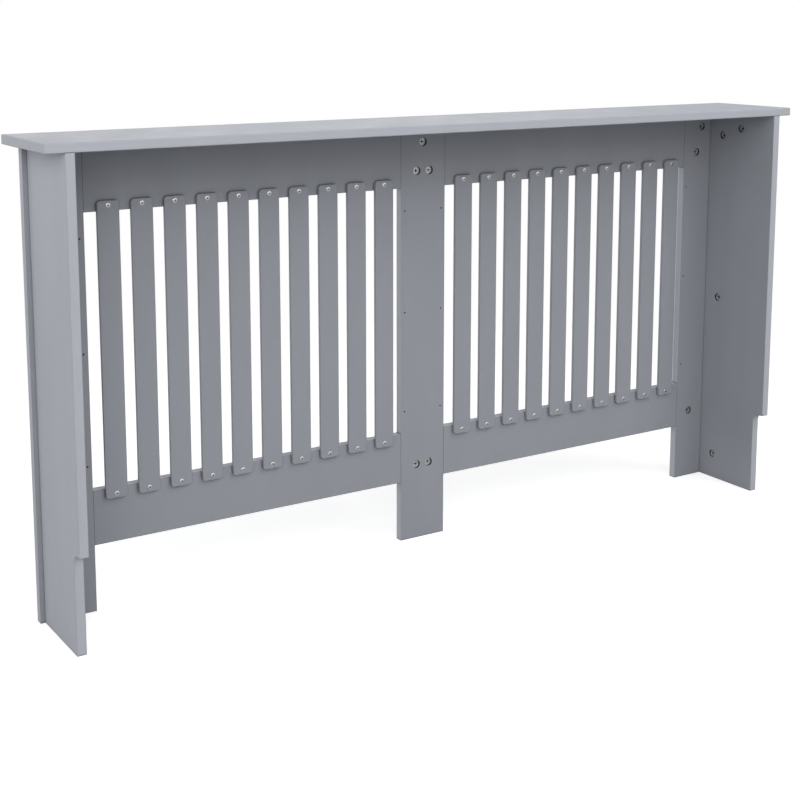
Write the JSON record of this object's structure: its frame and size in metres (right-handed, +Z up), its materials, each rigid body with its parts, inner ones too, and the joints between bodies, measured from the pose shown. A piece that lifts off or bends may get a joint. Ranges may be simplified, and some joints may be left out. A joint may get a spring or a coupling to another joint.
{
  "type": "radiator cover cabinet",
  "caption": "Long free-standing painted radiator cover with a flat shelf top, two side panels with skirting notches, and a front of vertical slats between rails and stiles.",
  "frame": {"origin": "on the floor, in the middle of the cover's length and depth", "axes": "+Z up, +X along the cover to the right end as seen from the room, +Y towards the wall; the slatted front faces -Y"},
  "size_m": [1.52, 0.2, 0.79],
  "materials": {
    "painted_mdf": "satin grey paint on fibreboard",
    "cast_zinc": "die-cast zinc, as cast",
    "zinc_plate": "bright zinc plate",
    "beech": "bare beech"
  },
  "bodies": {
    "root": {"top_shelf": "painted_mdf", "centre_stile": "painted_mdf", "left_stile": "painted_mdf", "left_side_panel": "painted_mdf", "left_top_rail": "painted_mdf", "left_bottom_rail": "painted_mdf", "left_slat_01": "painted_mdf", "left_slat_02": "painted_mdf", "left_slat_03": "painted_mdf", "left_slat_04": "painted_mdf", "left_slat_05": "painted_mdf", "left_slat_06": "painted_mdf", "left_slat_07": "painted_mdf", "left_slat_08": "painted_mdf", "left_slat_09": "painted_mdf", "left_slat_10": "painted_mdf", "right_stile": "painted_mdf", "right_side_panel": "painted_mdf", "right_top_rail": "painted_mdf", "right_bottom_rail": "painted_mdf", "right_slat_01": "painted_mdf", "right_slat_02": "painted_mdf", "right_slat_03": "painted_mdf", "right_slat_04": "painted_mdf", "right_slat_05": "painted_mdf", "right_slat_06": "painted_mdf", "right_slat_07": "painted_mdf", "right_slat_08": "painted_mdf", "right_slat_09": "painted_mdf", "right_slat_10": "painted_mdf", "rail_cam_discs": "cast_zinc", "shelf_cam_discs": "cast_zinc", "panel_cam_discs": "cast_zinc", "rail_cam_bolts": "zinc_plate", "shelf_cam_bolts": "zinc_plate", "panel_cam_bolts": "zinc_plate", "rail_dowels": "beech", "shelf_dowels": "beech"}
  },
  "joints": []
}
